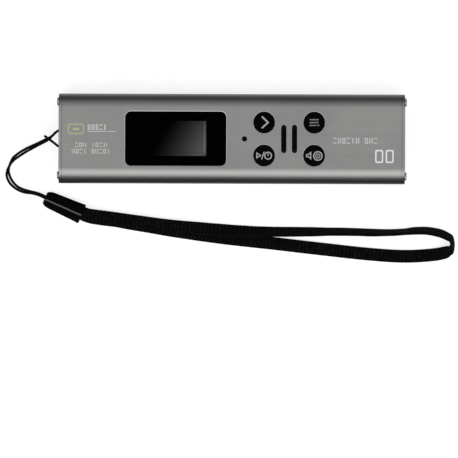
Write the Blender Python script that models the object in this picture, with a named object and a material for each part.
"""Pocket geiger counter in an extruded aluminium case, with a wrist strap.

Frame: the origin is the centre of the back face, +X runs along the case towards
the charging socket, +Y across it, and +Z out of the front face. The case lies on
its back, and the strap lies loose on the same surface, z = 0.

Lengths are written in millimetres and turned into metres when a mesh is made.
"""
import bpy
import bmesh
from math import pi, cos, sin, tan, radians, hypot, atan2
from mathutils import Vector

MM = 0.001

# ---- driving dimensions (millimetres) ----
BODY_LENGTH = 138.5
BODY_WIDTH = 35.9
BODY_HEIGHT = 19.0
CORNER_R = 6.3
PLATE_T = 1.2
PLATE_GAP = 0.2
SIDE_WALL = 1.8
FRONT_WALL = 2.2
BACK_WALL = 2.0

HALF_L = BODY_LENGTH / 2
HALF_W = BODY_WIDTH / 2
TUBE_HALF = HALF_L - PLATE_T - PLATE_GAP          # half length of the extrusion
IN_Y = HALF_W - SIDE_WALL                         # inner half width
IN_TOP = BODY_HEIGHT - FRONT_WALL
IN_BOT = BACK_WALL

PORT_Y = 14.75                                    # screw ports
PORT_Z = (3.6, 15.4)
PORT_R = 0.95
PORT_BLOCK_Y = 12.6
PORT_BLOCK_H = 1.45
SCREW_R = 0.8
SCREW_LEN = 7.0
HEAD_R = 1.6
HEAD_H = 0.65

WINDOW_X = -22.46
WINDOW_L, WINDOW_W, WINDOW_R = 40.5, 21.8, 2.4
WINDOW_CLEAR = 0.15
POCKET_Z = 17.6
LEDGE = 1.7
WINDOW_T = 0.9
PANEL_L, PANEL_W = 29.0, 17.6

BUTTON_X = (12.9, 32.9)
BUTTON_Y = 6.6
BUTTON_HOLE_R = 4.36
BUTTON_R = 4.18
BUTTON_TOP = 19.15
FLANGE_R = 5.2
FLANGE_Z = (15.9, 16.5)
BUTTON_TRAVEL = 0.3

SLOT_X = (20.75, 25.05)
SLOT_W, SLOT_L = 2.0, 11.2
LED_X = 5.07
LED_R = 1.0

BOARD_Z = (12.4, 13.6)
BOARD_X = (-62.0, 67.2)
BOARD_HALF_W = 15.6
GUIDE_Z = (11.3, 12.1)
GUIDE_Y = 14.7

GM_Y, GM_Z, GM_R = 7.0, 7.2, 4.75
GM_X = (-43.0, 29.0)
GM_CAP_R, GM_CAP_L = 3.0, 7.0

BATT_X = (-48.0, 8.0)
BATT_Y = (-12.2, 0.6)
BATT_Z = (2.9, 10.3)

USB_Z = 10.47
USB_W, USB_H, USB_L = 8.94, 3.26, 7.35
USB_MOUTH_X = HALF_L - 0.2
USB_WALL = 0.31

STRAP_SLOT_Y = 3.2
STRAP_SLOT_Z = (4.1, 7.1)
STRAP_SLOT_W = 1.8
CORD_D = 1.0
STRAND_LOW_Z, STRAND_HIGH_Z = 5.05, 6.15
STRAND_GAP = 1.05

FERRULE_A = (-74.81, -23.79)                      # centre of the cord end
FERRULE_B = (-59.85, -30.34)                      # centre of the webbing end
FERRULE_W = (6.4, 7.9)
FERRULE_H = (3.6, 4.4)
WEB_W, WEB_T = 5.15, 1.2

# routes, seen from above, each point on the centreline of the two strands
CORD_ROUTE = [(-73.3, -0.15), (-75.35, -1.2), (-78.35, -2.7), (-81.2, -4.1), (-83.65, -5.45), (-85.65, -6.8),
              (-87.55, -8.35), (-88.7, -10.25), (-89.55, -12.2), (-89.75, -14.05), (-89.25, -16.0), (-88.15, -17.9),
              (-86.5, -19.5), (-84.55, -20.6), (-82.2, -21.35), (-79.65, -21.8), (-77.35, -22.4), (-75.95, -23.0),
              (-75.01, -23.43)]
WEB_OUT = [(-56.4, -31.5), (-51.0, -32.35), (-46.2, -32.9), (-41.4, -33.8), (-36.6, -34.6), (-31.8, -35.4),
           (-27.0, -36.25), (-22.2, -37.0), (-17.4, -37.7), (-12.6, -38.4), (-7.8, -39.05), (-3.0, -39.65),
           (1.8, -40.2), (6.6, -40.7), (11.4, -41.2), (16.2, -41.7), (21.1, -42.25), (30.7, -43.35), (40.3, -44.4),
           (49.9, -45.45), (59.5, -46.3), (64.3, -46.6), (69.1, -46.75), (73.9, -46.65), (78.7, -46.3),
           (83.5, -45.7), (86.0, -45.0), (87.7, -43.9), (88.5, -42.6)]
WEB_BACK = [(88.5, -41.2), (87.8, -39.6), (85.95, -38.45), (83.6, -37.5), (78.7, -36.55), (73.9, -36.5),
            (69.1, -36.95), (64.3, -37.25), (57.0, -37.3), (49.9, -37.1), (42.0, -37.0), (33.0, -37.05),
            (23.0, -37.1), (16.3, -37.1), (9.0, -37.0), (2.0, -36.75), (-3.0, -36.5), (-7.8, -36.2),
            (-12.6, -35.85), (-17.4, -35.5), (-22.2, -35.1), (-27.0, -34.6), (-31.8, -34.0), (-36.6, -33.35),
            (-41.4, -32.7), (-46.2, -32.05), (-51.0, -31.4), (-56.0, -30.8)]


# ---- scene ----
for old in list(bpy.data.objects):
    bpy.data.objects.remove(old, do_unlink=True)

root = bpy.data.objects.new("geiger_counter", None)
bpy.context.scene.collection.objects.link(root)
cutters = bpy.data.objects.new("cutters", None)
bpy.context.scene.collection.objects.link(cutters)
materials = {}


def material(name, colour, roughness, metallic=0.0):
    m = bpy.data.materials.new(name)
    m.use_nodes = True
    b = m.node_tree.nodes["Principled BSDF"]
    b.inputs["Base Color"].default_value = (*colour, 1.0)
    b.inputs["Roughness"].default_value = roughness
    b.inputs["Metallic"].default_value = metallic
    m.diffuse_color = (*colour, 1.0)
    materials[name] = m


material("anodised_aluminium", (0.30, 0.30, 0.295), 0.42, 0.9)
material("screw_steel", (0.45, 0.45, 0.46), 0.3, 1.0)
material("window_glass", (0.004, 0.004, 0.005), 0.08)
material("gasket_foam", (0.02, 0.02, 0.02), 0.9)
material("display_glass", (0.02, 0.02, 0.022), 0.15)
material("backlight_film", (0.8, 0.8, 0.78), 0.5)
material("polyimide", (0.55, 0.26, 0.05), 0.4)
material("key_plastic", (0.008, 0.008, 0.009), 0.45)
material("switch_plastic", (0.03, 0.03, 0.03), 0.5)
material("plunger_plastic", (0.6, 0.58, 0.5), 0.5)
material("board_laminate", (0.01, 0.09, 0.03), 0.45)
material("chip_epoxy", (0.015, 0.015, 0.016), 0.6)
material("tin_steel", (0.6, 0.6, 0.6), 0.3, 1.0)
material("buzzer_plastic", (0.01, 0.01, 0.01), 0.6)
material("led_resin", (0.75, 0.7, 0.45), 0.3)
material("smoked_acrylic", (0.02, 0.02, 0.02), 0.1)
material("tube_steel", (0.5, 0.49, 0.47), 0.35, 1.0)
material("brass_cap", (0.7, 0.5, 0.2), 0.35, 1.0)
material("ferrite", (0.05, 0.05, 0.055), 0.5)
material("capacitor_film", (0.45, 0.04, 0.02), 0.4)
material("cell_wrap", (0.35, 0.37, 0.4), 0.35, 0.3)
material("foam_pad", (0.6, 0.6, 0.58), 0.95)
material("nylon_white", (0.75, 0.74, 0.7), 0.5)
material("wire_red", (0.5, 0.01, 0.01), 0.45)
material("wire_black", (0.01, 0.01, 0.01), 0.45)
material("strap_braid", (0.01, 0.01, 0.01), 0.75)
material("strap_weave", (0.008, 0.008, 0.008), 0.8)
material("strap_sleeve", (0.01, 0.01, 0.01), 0.22)


def put(name, bm, at, slot, sharp=None, parent=None):
    """Turns a bmesh in millimetres, local to the point at, into an object in metres."""
    bmesh.ops.remove_doubles(bm, verts=bm.verts, dist=1e-4)
    bmesh.ops.recalc_face_normals(bm, faces=bm.faces)
    bmesh.ops.scale(bm, vec=(MM, MM, MM), verts=bm.verts)
    mesh = bpy.data.meshes.new(name)
    bm.to_mesh(mesh)
    bm.free()
    if sharp is not None:
        mesh.shade_smooth()
        mesh.set_sharp_from_angle(angle=radians(sharp))
    ob = bpy.data.objects.new(name, mesh)
    ob.location = Vector(at) * MM
    ob.parent = parent or root
    if slot:
        mesh.materials.append(materials[slot])
    bpy.context.scene.collection.objects.link(ob)
    return ob


def prism(outline, lo, hi, axis="z"):
    """A closed straight prism over a 2-D outline, from lo to hi along axis."""
    def place(u, v, w):
        return {"z": (u, v, w), "x": (w, u, v), "y": (u, w, v)}[axis]
    bm = bmesh.new()
    a = [bm.verts.new(place(u, v, lo)) for u, v in outline]
    b = [bm.verts.new(place(u, v, hi)) for u, v in outline]
    n = len(outline)
    bm.faces.new(a)
    bm.faces.new(b)
    for i in range(n):
        bm.faces.new((a[i], a[(i + 1) % n], b[(i + 1) % n], b[i]))
    return bm


def rect(cx, cy, w, h, r=0.0, steps=6):
    """A rectangle's outline with round corners, centred on (cx, cy)."""
    if r <= 0:
        return [(cx - w / 2, cy - h / 2), (cx + w / 2, cy - h / 2), (cx + w / 2, cy + h / 2), (cx - w / 2, cy + h / 2)]
    pts = []
    for qx, qy, start in ((1, -1, -90), (1, 1, 0), (-1, 1, 90), (-1, -1, 180)):
        for i in range(steps + 1):
            t = radians(start + 90 * i / steps)
            pts.append((cx + qx * (w / 2 - r) + r * cos(t), cy + qy * (h / 2 - r) + r * sin(t)))
    return tidy(pts)


def tidy(pts):
    """The outline without repeated points."""
    out = []
    for p in pts:
        if not out or hypot(p[0] - out[-1][0], p[1] - out[-1][1]) > 1e-4:
            out.append(p)
    if hypot(out[0][0] - out[-1][0], out[0][1] - out[-1][1]) < 1e-4:
        out.pop()
    return out


def disc(cx, cy, r, steps=32):
    return [(cx + r * cos(2 * pi * i / steps), cy + r * sin(2 * pi * i / steps)) for i in range(steps)]


def box(lo, hi, bevel=0.0, segments=2):
    bm = prism([(lo[0], lo[1]), (hi[0], lo[1]), (hi[0], hi[1]), (lo[0], hi[1])], lo[2], hi[2])
    if bevel:
        bmesh.ops.recalc_face_normals(bm, faces=bm.faces)
        bmesh.ops.bevel(bm, geom=list(bm.edges), offset=bevel, segments=segments, profile=0.5, affect="EDGES")
    return bm


def turned(profile, steps=32, axis="z"):
    """A solid of revolution: profile is (radius, height) from the bottom centre to the top centre."""
    bm = bmesh.new()
    rings = []
    for r, h in profile:
        if r < 1e-6:
            rings.append([bm.verts.new(swing(0, 0, h, axis))])
        else:
            rings.append([bm.verts.new(swing(r * cos(2 * pi * i / steps), r * sin(2 * pi * i / steps), h, axis))
                          for i in range(steps)])
    for lower, upper in zip(rings, rings[1:]):
        for i in range(steps):
            j = (i + 1) % steps
            if len(lower) == 1:
                bm.faces.new((lower[0], upper[j], upper[i]))
            elif len(upper) == 1:
                bm.faces.new((lower[i], lower[j], upper[0]))
            else:
                bm.faces.new((lower[i], lower[j], upper[j], upper[i]))
    return bm


def swing(x, y, h, axis):
    return {"z": (x, y, h), "x": (h, x, y), "-x": (-h, x, -y), "y": (y, h, x)}[axis]


def cut(ob, name, bm):
    """Takes a cutter, given in the same millimetres as the object's parent frame, out of ob."""
    c = put(name, bm, (0, 0, 0), None, parent=cutters)
    c.hide_render = True
    c.display_type = "WIRE"
    m = ob.modifiers.new(name, "BOOLEAN")
    m.operation = "DIFFERENCE"
    m.solver = "EXACT"
    m.object = c
    return c


def catmull(points, step):
    """Points at an even spacing on a centripetal Catmull-Rom curve through the given points."""
    pts = [Vector(p) for p in points]
    ext = [pts[0] * 2 - pts[1]] + pts + [pts[-1] * 2 - pts[-2]]
    fine = []
    for k in range(1, len(ext) - 2):
        p0, p1, p2, p3 = ext[k - 1:k + 3]
        t0 = 0.0
        t1 = t0 + max((p1 - p0).length, 1e-6) ** 0.5
        t2 = t1 + max((p2 - p1).length, 1e-6) ** 0.5
        t3 = t2 + max((p3 - p2).length, 1e-6) ** 0.5
        for i in range(24):
            t = t1 + (t2 - t1) * i / 24
            a1 = p0 * ((t1 - t) / (t1 - t0)) + p1 * ((t - t0) / (t1 - t0))
            a2 = p1 * ((t2 - t) / (t2 - t1)) + p2 * ((t - t1) / (t2 - t1))
            a3 = p2 * ((t3 - t) / (t3 - t2)) + p3 * ((t - t2) / (t3 - t2))
            b1 = a1 * ((t2 - t) / (t2 - t0)) + a2 * ((t - t0) / (t2 - t0))
            b2 = a2 * ((t3 - t) / (t3 - t1)) + a3 * ((t - t1) / (t3 - t1))
            fine.append(b1 * ((t2 - t) / (t2 - t1)) + b2 * ((t - t1) / (t2 - t1)))
    fine.append(pts[-1])
    return even(fine, step)


def even(line, step):
    """The line again, with its points about step apart."""
    run = [0.0]
    for a, b in zip(line, line[1:]):
        run.append(run[-1] + (b - a).length)
    count = max(2, round(run[-1] / step))
    out, k = [], 0
    for i in range(count + 1):
        want = run[-1] * i / count
        while k < len(line) - 2 and run[k + 1] < want:
            k += 1
        span = run[k + 1] - run[k]
        out.append(line[k].lerp(line[k + 1], 0.0 if span < 1e-9 else (want - run[k]) / span))
    return out


def tube(name, points, diameter, slot):
    """A round cord: a poly curve with a bevel and filled caps."""
    curve = bpy.data.curves.new(name, "CURVE")
    curve.dimensions = "3D"
    curve.bevel_depth = diameter / 2 * MM
    curve.bevel_resolution = 2
    curve.use_fill_caps = True
    s = curve.splines.new("POLY")
    s.points.add(len(points) - 1)
    for p, q in zip(s.points, points):
        p.co = (*(Vector(q) * MM), 1.0)
    curve.materials.append(materials[slot])
    ob = bpy.data.objects.new(name, curve)
    ob.parent = root
    bpy.context.scene.collection.objects.link(ob)
    return ob


# ---- case ----
outer = rect(0, BODY_HEIGHT / 2, BODY_WIDTH, BODY_HEIGHT, CORNER_R, 9)


def cavity():
    """The inside of the extrusion: a wide middle with board guides, and narrower top and bottom
    between the solid corner ports."""
    low, high = PORT_Z[0] + PORT_BLOCK_H, PORT_Z[1] - PORT_BLOCK_H
    half = [(PORT_BLOCK_Y, IN_BOT), (PORT_BLOCK_Y, low), (IN_Y, low), (IN_Y, GUIDE_Z[0]), (GUIDE_Y, GUIDE_Z[0]),
            (GUIDE_Y, GUIDE_Z[1]), (IN_Y, GUIDE_Z[1]), (IN_Y, high), (PORT_BLOCK_Y, high), (PORT_BLOCK_Y, IN_TOP)]
    return half + [(-y, z) for y, z in reversed(half)]


housing = put("housing_extrusion", prism(outer, -TUBE_HALF, TUBE_HALF, "x"), (0, 0, 0), "anodised_aluminium", 40)
cut(housing, "cut_cavity", prism(cavity(), -HALF_L - 5, HALF_L + 5, "x"))
for sy in (-1, 1):
    for k, z in enumerate(PORT_Z):
        cut(housing, f"cut_port_{sy + 1}{k}", prism(disc(sy * PORT_Y, z, PORT_R, 12), -HALF_L - 5, HALF_L + 5, "x"))
cut(housing, "cut_window_pocket", prism(rect(WINDOW_X, 0, WINDOW_L, WINDOW_W, WINDOW_R, 6), POCKET_Z, 25))
cut(housing, "cut_window_opening",
    prism(rect(WINDOW_X, 0, WINDOW_L - 2 * LEDGE, WINDOW_W - 2 * LEDGE, 1.0, 3), IN_TOP - 3, 25))
for i, x in enumerate(BUTTON_X):
    for j, y in enumerate((BUTTON_Y, -BUTTON_Y)):
        cut(housing, f"cut_button_{i}{j}", prism(disc(x, y, BUTTON_HOLE_R, 32), IN_TOP - 3, 25))
for i, x in enumerate(SLOT_X):
    cut(housing, f"cut_slot_{i}", prism(rect(x, 0, SLOT_W, SLOT_L, SLOT_W / 2, 6), IN_TOP - 3, 25))
cut(housing, "cut_led", prism(disc(LED_X, 0, LED_R, 16), IN_TOP - 3, 25))


def end_plate(name, side):
    lo, hi = sorted((side * HALF_L, side * (HALF_L - PLATE_T)))
    ob = put(name, prism(outer, lo, hi, "x"), (0, 0, 0), "anodised_aluminium", 40)
    for sy in (-1, 1):
        for k, z in enumerate(PORT_Z):
            cut(ob, f"cut_{name}_{sy + 1}{k}", prism(disc(sy * PORT_Y, z, SCREW_R + 0.2, 12), lo - 2, hi + 2, "x"))
    return ob


left_plate = end_plate("left_end_plate", -1)
for sy in (-1, 1):
    cut(left_plate, f"cut_strap_{sy + 1}",
        prism(rect(sy * STRAP_SLOT_Y, sum(STRAP_SLOT_Z) / 2, STRAP_SLOT_W, STRAP_SLOT_Z[1] - STRAP_SLOT_Z[0], 0.8, 4),
              -HALF_L - 3, -HALF_L + 4, "x"))
right_plate = end_plate("right_end_plate", 1)
cut(right_plate, "cut_usb", prism(rect(0, USB_Z, USB_W + 0.7, USB_H + 0.7, (USB_H + 0.7) / 2, 8),
                                  HALF_L - 4, HALF_L + 3, "x"))

# pan head screws, each turned about its own axis
screw_profile = [(0, -SCREW_LEN), (SCREW_R * 0.6, -SCREW_LEN), (SCREW_R, -SCREW_LEN + 0.6), (SCREW_R, 0.0),
                 (HEAD_R, 0.0), (HEAD_R, HEAD_H * 0.45), (HEAD_R * 0.86, HEAD_H * 0.8), (HEAD_R * 0.5, HEAD_H),
                 (0, HEAD_H)]
for side, word in ((-1, "left"), (1, "right")):
    for n, (sy, z) in enumerate(((1, PORT_Z[1]), (-1, PORT_Z[1]), (1, PORT_Z[0]), (-1, PORT_Z[0]))):
        put(f"end_screw_{word}_{n + 1}", turned(screw_profile, 12, "x" if side > 0 else "-x"),
            (side * (HALF_L + 0.1), sy * PORT_Y, z), "screw_steel", 35)

# ---- display ----
put("display_window",
    prism(rect(0, 0, WINDOW_L - 2 * WINDOW_CLEAR, WINDOW_W - 2 * WINDOW_CLEAR, WINDOW_R - WINDOW_CLEAR, 6), 0, WINDOW_T),
    (WINDOW_X, 0, BODY_HEIGHT - 0.05 - WINDOW_T), "window_glass", 40)
gasket = put("window_gasket", prism(rect(WINDOW_X, 0, WINDOW_L - 0.8, WINDOW_W - 0.8, 1.9, 4), POCKET_Z + 0.1,
                                    POCKET_Z + 0.35), (0, 0, 0), "gasket_foam")
cut(gasket, "cut_gasket", prism(rect(WINDOW_X, 0, WINDOW_L - 2 * LEDGE + 0.2, WINDOW_W - 2 * LEDGE + 0.2, 1.1, 3),
                                POCKET_Z - 1, POCKET_Z + 2))
put("display_panel", box((WINDOW_X - PANEL_L / 2, -PANEL_W / 2, 15.75), (WINDOW_X + PANEL_L / 2, PANEL_W / 2, 17.35),
                         0.15, 1), (0, 0, 0), "display_glass")
put("display_backlight", box((WINDOW_X - 14.0, -8.3, 14.2), (WINDOW_X + 14.0, 8.3, 15.6), 0.2, 1), (0, 0, 0),
    "backlight_film")


def ribbon(path, thick, lo, hi):
    """A thin strip: a polyline in X and Z, given thickness, from lo to hi along Y."""
    left, right = [], []
    for i, (x, z) in enumerate(path):
        a, b = path[max(i - 1, 0)], path[min(i + 1, len(path) - 1)]
        d = hypot(b[0] - a[0], b[1] - a[1])
        nx, nz = -(b[1] - a[1]) / d, (b[0] - a[0]) / d
        left.append((x + nx * thick / 2, z + nz * thick / 2))
        right.append((x - nx * thick / 2, z - nz * thick / 2))
    return prism(left + right[::-1], lo, hi, "y")


flex_x = WINDOW_X - PANEL_L / 2
put("display_flex", ribbon([(flex_x - 0.2, 16.0), (flex_x - 0.8, 15.95), (flex_x - 1.3, 15.7), (flex_x - 1.6, 15.3),
                            (flex_x - 1.8, 14.9), (flex_x - 2.1, 14.55), (flex_x - 2.6, 14.35), (flex_x - 3.2, 14.3)],
                           0.15, -5.0, 5.0), (0, 0, 0), "polyimide")
put("flex_connector", box((flex_x - 6.0, -6.2, 13.75), (flex_x - 3.4, 6.2, 14.9), 0.15, 1), (0, 0, 0), "nylon_white")

# ---- keys: the cap and the switch plunger move together along -Z ----
names = {(0, 1): "scroll", (1, 1): "menu", (0, -1): "power", (1, -1): "sound"}
top, f0, f1 = BUTTON_TOP, *FLANGE_Z
cap_profile = [(0, 15.6), (1.3, 15.6), (1.4, 15.7), (1.4, f0), (FLANGE_R, f0), (FLANGE_R, f1), (BUTTON_R, f1),
               (BUTTON_R, top - 0.35), (BUTTON_R - 0.1, top - 0.14), (BUTTON_R - 0.35, top), (0, top)]
plunger_profile = [(0, 14.75), (1.2, 14.75), (1.2, 15.35), (1.1, 15.45), (0, 15.45)]
for (i, sy), word in names.items():
    x, y = BUTTON_X[i], sy * BUTTON_Y
    put(f"button_{word}", turned(cap_profile, 24), (x, y, 0), "key_plastic", 30)
    put(f"plunger_{word}", turned(plunger_profile, 16), (x, y, 0), "plunger_plastic", 30)
    body = put(f"switch_{word}", box((x - 2.6, y - 2.6, 13.75), (x + 2.6, y + 2.6, 15.1), 0.2, 1), (0, 0, 0),
               "switch_plastic")
    cut(body, f"cut_switch_{word}", prism(disc(x, y, 1.5, 16), 14.3, 16))

# ---- board and what stands on it ----
board = put("main_board", box((BOARD_X[0], -BOARD_HALF_W, BOARD_Z[0]), (BOARD_X[1], BOARD_HALF_W, BOARD_Z[1])),
            (0, 0, 0), "board_laminate")
cut(board, "cut_board_notch", box((-52.0, -4.0, 12.0), (-47.0, 4.0, 14.0)))
put("mcu_chip", box((44.5, -3.5, 13.75), (51.5, 3.5, 14.75), 0.15, 1), (0, 0, 0), "chip_epoxy")
put("charger_chip", box((55.5, -2.5, 13.75), (60.5, 2.5, 15.2), 0.2, 1), (0, 0, 0), "chip_epoxy")
put("status_led", box((LED_X - 0.8, -0.4, 13.75), (LED_X + 0.8, 0.4, 14.4), 0.1, 1), (0, 0, 0), "led_resin")
put("led_light_pipe", turned([(0, 14.7), (0.7, 14.7), (0.7, 15.7), (1.4, 15.7), (1.4, 16.4), (0.68, 16.4),
                              (0.68, 18.75), (0.55, 18.88), (0, 18.92)], 16), (LED_X, 0, 0), "smoked_acrylic", 30)
buzzer = put("buzzer", turned([(0, 13.75), (4.3, 13.75), (4.3, 16.2), (4.05, 16.45), (0, 16.45)], 24),
             (sum(SLOT_X) / 2, 0, 0), "buzzer_plastic", 30)
cut(buzzer, "cut_buzzer", prism(disc(sum(SLOT_X) / 2, 0, 0.8, 12), 15.0, 18))

# ---- charging socket, under the board, with its mouth in the right end plate ----
socket = put("usb_socket", prism(rect(0, USB_Z, USB_W, USB_H, USB_H / 2, 8), USB_MOUTH_X - USB_L, USB_MOUTH_X, "x"),
             (0, 0, 0), "tin_steel", 40)
cut(socket, "cut_socket", prism(rect(0, USB_Z, USB_W - 2 * USB_WALL, USB_H - 2 * USB_WALL, USB_H / 2 - USB_WALL, 8),
                                USB_MOUTH_X - USB_L + 1.0, USB_MOUTH_X + 3, "x"))
put("usb_tongue", prism(rect(0, USB_Z, 6.69, 0.7, 0.3, 2), USB_MOUTH_X - USB_L + 1.15, USB_MOUTH_X - 0.8, "x"),
    (0, 0, 0), "chip_epoxy")

# ---- detector tube, lying along the board's underside ----
put("gm_tube", turned([(0, GM_X[0]), (GM_R - 0.6, GM_X[0]), (GM_R, GM_X[0] + 0.6), (GM_R, GM_X[1] - 0.6),
                       (GM_R - 0.6, GM_X[1]), (0, GM_X[1])], 24, "x"), (0, GM_Y, GM_Z), "tube_steel", 30)
for word, x0, way in (("cathode", GM_X[0] - 0.1, -1), ("anode", GM_X[1] + 0.1, 1)):
    prof = [(0, 0), (GM_CAP_R, 0), (GM_CAP_R, GM_CAP_L - 0.5), (GM_CAP_R - 0.5, GM_CAP_L), (0, GM_CAP_L)]
    put(f"gm_cap_{word}", turned(prof, 20, "x" if way > 0 else "-x"), (x0, GM_Y, GM_Z), "brass_cap", 30)
    # spring clip: a C of strip round the cap, open below, with a foot up to the board
    mid = x0 + way * GM_CAP_L / 2
    r_in, r_out = GM_CAP_R + 0.15, GM_CAP_R + 0.55
    arc = [radians(-50 + 280 * i / 20) for i in range(21)]
    ring = [(GM_Y + r_out * cos(t), GM_Z + r_out * sin(t)) for t in arc]
    ring += [(GM_Y + r_in * cos(t), GM_Z + r_in * sin(t)) for t in reversed(arc)]
    clip = put(f"tube_clip_{word}", prism(ring, mid - 2.0, mid + 2.0, "x"), (0, 0, 0), "tin_steel", 40)
    foot = put(f"foot_{word}", box((mid - 2.0, GM_Y - 1.5, GM_Z + r_out - 0.35), (mid + 2.0, GM_Y + 1.5, BOARD_Z[0] - 0.15)),
               (0, 0, 0), None, parent=cutters)
    foot.hide_render = True
    foot.display_type = "WIRE"
    join = clip.modifiers.new("foot", "BOOLEAN")
    join.operation = "UNION"
    join.solver = "EXACT"
    join.object = foot

# ---- high voltage supply ----
core = put("hv_transformer", box((36.5 + 8.0, -12.0, 5.8), (36.5 + 16.0, -4.0, 12.2), 0.3, 1), (0, 0, 0), "ferrite")
cut(core, "cut_core_top", box((46.0, -13.0, 7.2), (51.0, -10.6, 10.8)))
cut(core, "cut_core_low", box((46.0, -5.4, 7.2), (51.0, -3.0, 10.8)))
put("hv_capacitor", box((30.0, -12.0, 6.0), (41.0, -7.0, 12.2), 0.7, 2), (0, 0, 0), "capacitor_film", 40)

# ---- battery ----
put("battery_cell", box((BATT_X[0], BATT_Y[0], BATT_Z[0]), (BATT_X[1], BATT_Y[1], BATT_Z[1]), 1.2, 3), (0, 0, 0),
    "cell_wrap", 40)
put("battery_pad", box((BATT_X[0] + 5, BATT_Y[0] + 2, IN_BOT + 0.15), (BATT_X[1] - 5, BATT_Y[1] - 2, BATT_Z[0] - 0.15)),
    (0, 0, 0), "foam_pad")
header = put("battery_header", box((17.0, -9.6, 7.4), (23.4, -1.6, 12.2), 0.2, 1), (0, 0, 0), "nylon_white")
cut(header, "cut_header", box((15.0, -8.7, 8.2), (22.4, -2.5, 11.4)))
put("battery_plug", box((14.6, -8.4, 8.5), (21.8, -2.8, 11.1), 0.2, 1), (0, 0, 0), "nylon_white")
for word, y0, y1 in (("red", -4.6, -4.4), ("black", -7.4, -6.8)):
    run = catmull([(BATT_X[1] + 0.3, y0, 7.6), (BATT_X[1] + 1.6, y0 - 0.1, 7.6), (BATT_X[1] + 3.2, y0 - 0.2, 8.0),
                   (BATT_X[1] + 4.8, y1 + 0.1, 9.2), (BATT_X[1] + 5.6, y1, 9.7), (14.3, y1, 9.8)], 0.7)
    tube(f"battery_lead_{word}", run, 1.2, f"wire_{word}")


# ---- wrist strap ----
def thinned(line, count, ease=0.22):
    """Fewer points where the line is straight, more where it bends."""
    cost = [0.0]
    for i in range(1, len(line)):
        a, b, c = line[max(i - 1, 0)], line[i], line[min(i + 1, len(line) - 1)]
        bend = (b - a).angle(c - b) if (b - a).length > 1e-6 and (c - b).length > 1e-6 else 0.0
        cost.append(cost[-1] + ease + bend)
    out, k = [], 0
    for i in range(count):
        want = cost[-1] * i / (count - 1)
        while k < len(line) - 2 and cost[k + 1] < want:
            k += 1
        out.append(line[k].lerp(line[k + 1], min(max((want - cost[k]) / (cost[k + 1] - cost[k]), 0), 1)))
    return out


def turn(v, t):
    """Smooth 0..1."""
    t = min(max(t, 0.0), 1.0)
    return v * t * t * (3 - 2 * t)


def keyed(keys, t):
    """A value read from (t, value) pairs, eased between them."""
    for (t0, v0), (t1, v1) in zip(keys, keys[1:]):
        if t <= t1:
            return v0 + turn(v1 - v0, (t - t0) / (t1 - t0))
    return keys[-1][1]


def strand_pair():
    """Both strands of the doubled cord from the hitch to the sleeve. The pair's centreline follows
    CORD_ROUTE; the strands lie against each other, one above the other at the hitch and side by side on
    the surface, and they cross over once in the bend."""
    line = catmull([(x, y, 0) for x, y in CORD_ROUTE], 0.5)
    total = sum((b - a).length for a, b in zip(line, line[1:]))
    low = CORD_D / 2 + 0.06
    height = [(0.0, 5.6), (0.06, 5.35), (0.32, low), (0.88, low), (1.0, 1.25)]
    roll = [(0.0, 64), (0.06, 46), (0.14, 40), (0.22, 6), (0.34, 0), (0.475, 90), (0.60, 180), (0.76, 180),
            (0.88, 125), (1.0, 125)]
    apart = [(0.0, 1.06), (0.22, STRAND_GAP), (0.31, 1.15), (0.40, STRAND_GAP), (0.53, STRAND_GAP), (0.60, 1.3),
             (0.65, 1.3), (0.71, STRAND_GAP), (1.0, STRAND_GAP)]
    spine, run = [], 0.0
    for i, p in enumerate(line):
        if i:
            run += (p - line[i - 1]).length
        t = run / total
        lift = abs(sin(radians(keyed(roll, t)))) * keyed(apart, t) / 2 * turn(1.0, (t - 0.1) / 0.2)
        spine.append((Vector((p.x, p.y, keyed(height, t) + lift)), t))
    one, two = [], []
    for i, (p, t) in enumerate(spine):
        d = (spine[min(i + 1, len(spine) - 1)][0] - spine[max(i - 1, 0)][0]).normalized()
        side = Vector((-d.y, d.x, 0)).normalized()
        a = radians(keyed(roll, t))
        off = (side * cos(a) + d.cross(side) * sin(a)) * keyed(apart, t) / 2
        one.append(p + off)
        two.append(p - off)
    return one, two


one, two = strand_pair()
hi, lo = STRAND_HIGH_Z, STRAND_LOW_Z
x_out, x_in = -HALF_L - 0.2, -HALF_L + PLATE_T + 0.2


def inside(z):
    """Round the back of the bridge between the two strap slots."""
    sy = STRAP_SLOT_Y
    return [(x_out, sy - 0.1, z), (x_in, sy, z), (x_in + 1.5, sy - 0.6, z), (x_in + 2.5, sy - 2.0, z),
            (x_in + 2.8, 0, z), (x_in + 2.5, 2.0 - sy, z), (x_in + 1.5, 0.6 - sy, z), (x_in, -sy, z),
            (x_out, 0.1 - sy, z)]


# the bight comes out of the lower slot, passes over and under the standing pair, and goes back in
BIGHT_AT, BIGHT_R = (-73.46, -0.12), 1.65
toward = Vector((-0.811, 0.585, 0))
bight = [(-70.6, -2.3, hi + 0.3), (-72.0, -1.2, hi + 0.85)] + \
        [(BIGHT_AT[0] + toward.x * BIGHT_R * sin(radians(a)), BIGHT_AT[1] + toward.y * BIGHT_R * sin(radians(a)),
          (hi + lo) / 2 + BIGHT_R * cos(radians(a))) for a in (0, 30, 60, 90, 120, 150, 180)] + \
        [(-72.0, -1.2, lo - 0.85), (-70.6, -2.3, lo - 0.3)]
hitch_in = [(-71.6, 1.35, hi), (-70.4, 2.5, hi)]
hitch_out = [(-70.4, 2.5, lo), (-71.6, 1.35, lo)]
first = even(one[::-1], 1.9)
second = even(two, 1.9)
knot = [Vector(p) for p in hitch_in + inside(hi) + bight + inside(lo)[::-1] + hitch_out]
path = catmull([tuple(p) for p in first] + [tuple(p) for p in knot] + [tuple(p) for p in second], 0.5)


tube("strap_cord", thinned(path, 80), CORD_D, "strap_braid")

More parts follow.
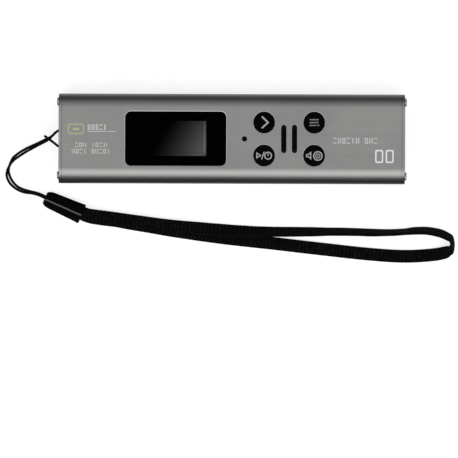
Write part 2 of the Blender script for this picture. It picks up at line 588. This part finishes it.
# the sleeve: a taper from the cord end to the webbing end, resting on the surface
axis = Vector((FERRULE_B[0] - FERRULE_A[0], FERRULE_B[1] - FERRULE_A[1], 0))
across = Vector((-axis.y, axis.x, 0)).normalized()
bm = bmesh.new()
rings = []
for t, inset in ((0.0, 0.8), (0.025, 0.4), (0.07, 0.12), (0.12, 0.0), (0.5, 0.0), (0.97, 0.0), (1.0, 0.3)):
    w = FERRULE_W[0] + (FERRULE_W[1] - FERRULE_W[0]) * t - 2 * inset
    h = FERRULE_H[0] + (FERRULE_H[1] - FERRULE_H[0]) * t - 2 * inset
    centre = Vector((*FERRULE_A, 0)) + axis * t + Vector((0, 0, h / 2 + inset))
    rings.append([bm.verts.new(centre + across * u + Vector((0, 0, v))) for u, v in rect(0, 0, w, h, min(1.4, h * 0.4), 4)])
bm.faces.new(rings[0])
bm.faces.new(rings[-1])
for a, b in zip(rings, rings[1:]):
    for i in range(len(a)):
        bm.faces.new((a[i], a[(i + 1) % len(a)], b[(i + 1) % len(a)], b[i]))
put("strap_ferrule", bm, (0, 0, 0), "strap_sleeve", 40)


# the webbing: one strip that leaves the sleeve, lies flat, stands on edge round the loop,
# and comes back leaning over and then lying on the first run
def web_rings(count):
    """Centre, width direction and tilt of the webbing along its length."""
    mouth, ahead = Vector((*FERRULE_B, 0)), axis.normalized()
    first = [mouth + ahead * 0.35 + across * 0.15, mouth + ahead * 1.6 + across * 0.1]
    last = [mouth + ahead * 1.6 + across * 0.65, mouth + ahead * 0.35 + across * 0.6]
    route = thinned(catmull(first + [(x, y, 0) for x, y in WEB_OUT + WEB_BACK] + last, 0.5), count, 0.03)
    apex = max(range(len(route)), key=lambda i: route[i].x)
    out_run = route[:apex]
    tilt_out = [(-60.0, 0.0), (80.0, 0.0), (85.0, 14.0), (87.3, 42.0), (88.7, 80.0)]
    tilt_back = [(-60.0, 0.0), (-36.0, 0.0), (-25.4, 4.0), (-15.8, 10.0), (-6.2, 21.0), (3.0, 34.0), (11.0, 42.0),
                 (17.0, 46.0), (23.0, 47.0), (31.0, 50.5), (40.0, 59.0), (54.5, 62.0), (64.0, 67.5), (69.0, 69.0),
                 (74.0, 62.5), (84.0, 58.0), (87.4, 62.0), (88.7, 80.0)]
    rise = [(-60.0, 1.0), (-57.5, 0.55), (-53.0, 0.0), (90.0, 0.0)]
    rings = []
    for i, p in enumerate(route):
        d = (route[min(i + 1, len(route) - 1)] - route[max(i - 1, 0)]).normalized()
        if i == 0 or i == len(route) - 1:
            d = ahead if i == 0 else -ahead
        side = Vector((-d.y, d.x, 0))
        a = radians(keyed(tilt_out if i < apex else tilt_back, p.x))
        z = WEB_W / 2 * sin(a) + WEB_T / 2 * cos(a)
        if i >= apex and p.x < 30:
            near = min(out_run, key=lambda q: (q - p).length)
            apart = (near - p).length
            if apart < WEB_W / 2 + WEB_W / 2 * cos(a) + WEB_T / 2 * sin(a) + 0.1:
                z = max(z, WEB_T + 0.12 + WEB_T / 2 / cos(a) - (apart - WEB_W / 2) * tan(a))
        z += keyed(rise, p.x)
        rings.append((Vector((p.x, p.y, z)), (side * cos(a) + Vector((0, 0, 1)) * sin(a)).normalized(), d))
    return rings


bm = bmesh.new()
rings = []
for centre, wide, d in web_rings(76):
    flat = wide.cross(d).normalized()
    corners = [(-1, -1), (1, -1), (1, 1), (-1, 1)]
    rings.append([bm.verts.new(centre + wide * (u * WEB_W / 2) + flat * (v * WEB_T / 2)) for u, v in corners])
bm.faces.new(rings[0])
bm.faces.new(rings[-1])
for a, b in zip(rings, rings[1:]):
    for i in range(4):
        bm.faces.new((a[i], a[(i + 1) % 4], b[(i + 1) % 4], b[i]))
put("strap_webbing", bm, (0, 0, 0), "strap_weave")
